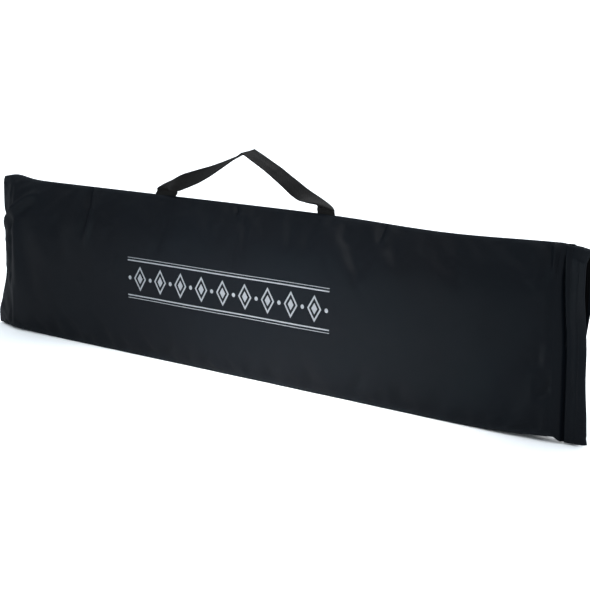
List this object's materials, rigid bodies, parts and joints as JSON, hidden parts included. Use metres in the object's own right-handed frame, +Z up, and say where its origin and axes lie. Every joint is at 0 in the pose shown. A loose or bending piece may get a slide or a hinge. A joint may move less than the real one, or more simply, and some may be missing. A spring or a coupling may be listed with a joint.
{
  "type": "padded carry bag",
  "caption": "Long padded sleeve that carries a set of bar chimes, folded along its base, with a hook-and-loop mouth at one end and a webbing handle on its top seam.",
  "frame": {"origin": "centre of the overall box on the plane that the bag stands on", "axes": "+X along the bag towards its mouth, -Y out of the front wall, +Z up towards the handle"},
  "size_m": [0.94, 0.04, 0.276],
  "materials": {
    "cover_fabric": "black coated plain-weave nylon with a faint sheen",
    "foam": "grey closed-cell foam sheet",
    "lining_fabric": "thin dark woven lining",
    "seam_binding": "black woven binding tape",
    "webbing": "black ribbed polypropylene webbing",
    "hook_tape": "black hook tape",
    "loop_tape": "black loop pile tape"
  },
  "bodies": {
    "bag": {"outer_cover": "cover_fabric", "front_padding": "foam", "back_padding": "foam", "lining": "lining_fabric", "top_seam_binding": "seam_binding", "end_seam_binding": "seam_binding", "left_strap_end": "webbing", "right_strap_end": "webbing"},
    "handle": {"handle_strap": "webbing"},
    "front_lip": {"front_lip": "cover_fabric", "hook_tape": "hook_tape"},
    "back_lip": {"back_lip": "cover_fabric", "loop_tape": "loop_tape"}
  },
  "joints": [
    {"name": "handle_swing", "type": "hinge", "parent": "bag", "child": "handle", "pos_m": [-0.005, 0, 0.21595], "axis": [1, 0, 0], "range_deg": [-90, 90]},
    {"name": "front_lip_open", "type": "hinge", "parent": "bag", "child": "front_lip", "pos_m": [0.434, -0.017, 0.105], "axis": [0, 0, -1], "range_deg": [0, 60]},
    {"name": "back_lip_open", "type": "hinge", "parent": "bag", "child": "back_lip", "pos_m": [0.434, 0.017, 0.105], "axis": [0, 0, 1], "range_deg": [0, 60]}
  ]
}
